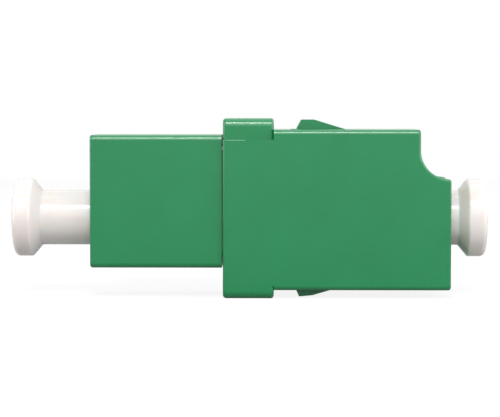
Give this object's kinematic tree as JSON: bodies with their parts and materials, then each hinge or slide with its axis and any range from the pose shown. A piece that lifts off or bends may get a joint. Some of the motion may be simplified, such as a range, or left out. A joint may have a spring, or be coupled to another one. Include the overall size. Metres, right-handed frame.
{
  "type": "fibre optic adapter",
  "caption": "Green panel-mount adapter that joins two small square fibre plugs end to end, with a white dust cap in each port.",
  "frame": {"origin": "middle of the split sleeve on the ferrule axis, where the two ferrule tips meet", "axes": "+X along the ferrule axis out of the front port, +Z towards the side of the plugs' latches"},
  "size_m": [0.0386, 0.007, 0.0146],
  "materials": {
    "green_plastic": "satin green moulded plastic",
    "holder_plastic": "green moulded plastic",
    "ceramic": "polished white ceramic",
    "white_plastic": "glossy white moulded plastic"
  },
  "bodies": {
    "adapter": {"main_housing": "green_plastic", "rear_housing": "green_plastic", "sleeve_holder_front": "holder_plastic", "sleeve_holder_rear": "holder_plastic", "split_sleeve": "ceramic"},
    "front_cap": {"dust_cap_front": "white_plastic"},
    "rear_cap": {"dust_cap_rear": "white_plastic"}
  },
  "joints": [
    {"name": "front_cap_slide", "type": "slide", "parent": "adapter", "child": "front_cap", "axis": [1, 0, 0], "range_m": [0, 0.016]},
    {"name": "rear_cap_slide", "type": "slide", "parent": "adapter", "child": "rear_cap", "axis": [-1, 0, 0], "range_m": [0, 0.0125]}
  ]
}
